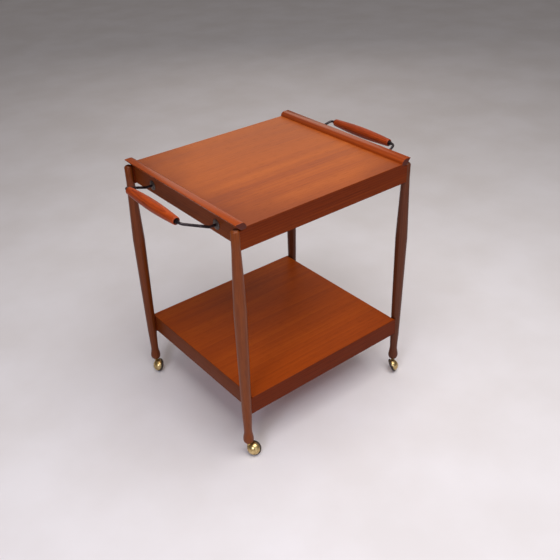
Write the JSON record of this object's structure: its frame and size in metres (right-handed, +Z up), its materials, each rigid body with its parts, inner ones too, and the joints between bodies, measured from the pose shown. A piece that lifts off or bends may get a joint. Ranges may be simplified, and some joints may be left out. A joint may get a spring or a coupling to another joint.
{
  "type": "bar cart on wheels",
  "caption": "Wooden serving cart: railed tray box over a shelf box on turned legs with ball casters, and a bent-rod handle with a turned grip at each end.",
  "frame": {"origin": "on the floor, under the middle of the cart", "axes": "+Z up, X from handle to handle with +X to the right-hand handle, Y from front to back with -Y at the front"},
  "size_m": [0.745, 0.5508, 0.7195],
  "materials": {
    "tray_teak": "satin oiled",
    "shelf_teak": "satin oiled",
    "board_teak": "satin oiled",
    "rail_teak": "satin oiled",
    "leg_teak": "satin oiled",
    "grip_teak": "satin oiled",
    "block_wood": "raw sawn",
    "dowel_beech": "raw turned",
    "black_iron": "blackened",
    "gunmetal": "dull polished",
    "zinc_steel": "dull zinc",
    "brass": "worn polish",
    "black_rubber": "matt"
  },
  "bodies": {
    "cart": {"tray_panel": "tray_teak", "tray_front_board": "board_teak", "tray_back_board": "board_teak", "tray_left_board": "board_teak", "tray_right_board": "board_teak", "tray_corner_blocks": "block_wood", "left_rail": "rail_teak", "right_rail": "rail_teak", "shelf_panel": "shelf_teak", "shelf_front_board": "board_teak", "shelf_back_board": "board_teak", "shelf_left_board": "board_teak", "shelf_right_board": "board_teak", "shelf_corner_blocks": "block_wood", "front_left_leg": "leg_teak", "front_right_leg": "leg_teak", "back_left_leg": "leg_teak", "back_right_leg": "leg_teak", "tray_leg_dowels": "dowel_beech", "shelf_leg_dowels": "dowel_beech", "left_handle_rod": "black_iron", "right_handle_rod": "black_iron", "rod_collars": "black_iron", "rod_rosettes": "gunmetal", "rod_washers": "zinc_steel", "rod_nuts": "zinc_steel", "caster_sockets": "brass"},
    "left_grip_turned": {"left_grip": "grip_teak"},
    "right_grip_turned": {"right_grip": "grip_teak"},
    "front_left_swivel": {"front_left_caster_stem": "brass", "front_left_caster_hood": "brass", "front_left_caster_axle": "zinc_steel"},
    "front_left_wheel": {"front_left_caster_wheel": "brass", "front_left_caster_tyre": "black_rubber"},
    "back_left_swivel": {"back_left_caster_stem": "brass", "back_left_caster_hood": "brass", "back_left_caster_axle": "zinc_steel"},
    "back_left_wheel": {"back_left_caster_wheel": "brass", "back_left_caster_tyre": "black_rubber"},
    "front_right_swivel": {"front_right_caster_stem": "brass", "front_right_caster_hood": "brass", "front_right_caster_axle": "zinc_steel"},
    "front_right_wheel": {"front_right_caster_wheel": "brass", "front_right_caster_tyre": "black_rubber"},
    "back_right_swivel": {"back_right_caster_stem": "brass", "back_right_caster_hood": "brass", "back_right_caster_axle": "zinc_steel"},
    "back_right_wheel": {"back_right_caster_wheel": "brass", "back_right_caster_tyre": "black_rubber"}
  },
  "joints": [
    {"name": "left_grip_turn", "type": "hinge", "parent": "cart", "child": "left_grip_turned", "pos_m": [-0.3575, 0, 0.6985], "axis": [0, 1, 0], "continuous": true},
    {"name": "right_grip_turn", "type": "hinge", "parent": "cart", "child": "right_grip_turned", "pos_m": [0.3575, 0, 0.6985], "axis": [0, 1, 0], "continuous": true},
    {"name": "front_left_swivel_turn", "type": "hinge", "parent": "cart", "child": "front_left_swivel", "pos_m": [-0.285, -0.246, 0.05], "axis": [0, 0, 1], "continuous": true},
    {"name": "front_left_wheel_roll", "type": "hinge", "parent": "front_left_swivel", "child": "front_left_wheel", "pos_m": [-0.27518, -0.25581, 0.01909], "axis": [0.7716, 0.4455, -0.454], "continuous": true},
    {"name": "back_left_swivel_turn", "type": "hinge", "parent": "cart", "child": "back_left_swivel", "pos_m": [-0.285, 0.246, 0.05], "axis": [0, 0, 1], "continuous": true},
    {"name": "back_left_wheel_roll", "type": "hinge", "parent": "back_left_swivel", "child": "back_left_wheel", "pos_m": [-0.2833, 0.23223, 0.01909], "axis": [0.8823, -0.124, -0.454], "continuous": true},
    {"name": "front_right_swivel_turn", "type": "hinge", "parent": "cart", "child": "front_right_swivel", "pos_m": [0.285, -0.246, 0.05], "axis": [0, 0, 1], "continuous": true},
    {"name": "front_right_wheel_roll", "type": "hinge", "parent": "front_right_swivel", "child": "front_right_wheel", "pos_m": [0.27377, -0.25415, 0.01909], "axis": [-0.6924, 0.5607, -0.454], "continuous": true},
    {"name": "back_right_swivel_turn", "type": "hinge", "parent": "cart", "child": "back_right_swivel", "pos_m": [0.285, 0.246, 0.05], "axis": [0, 0, 1], "continuous": true},
    {"name": "back_right_wheel_roll", "type": "hinge", "parent": "back_right_swivel", "child": "back_right_wheel", "pos_m": [0.29482, 0.25581, 0.01909], "axis": [0.7716, -0.4455, -0.454], "continuous": true}
  ]
}
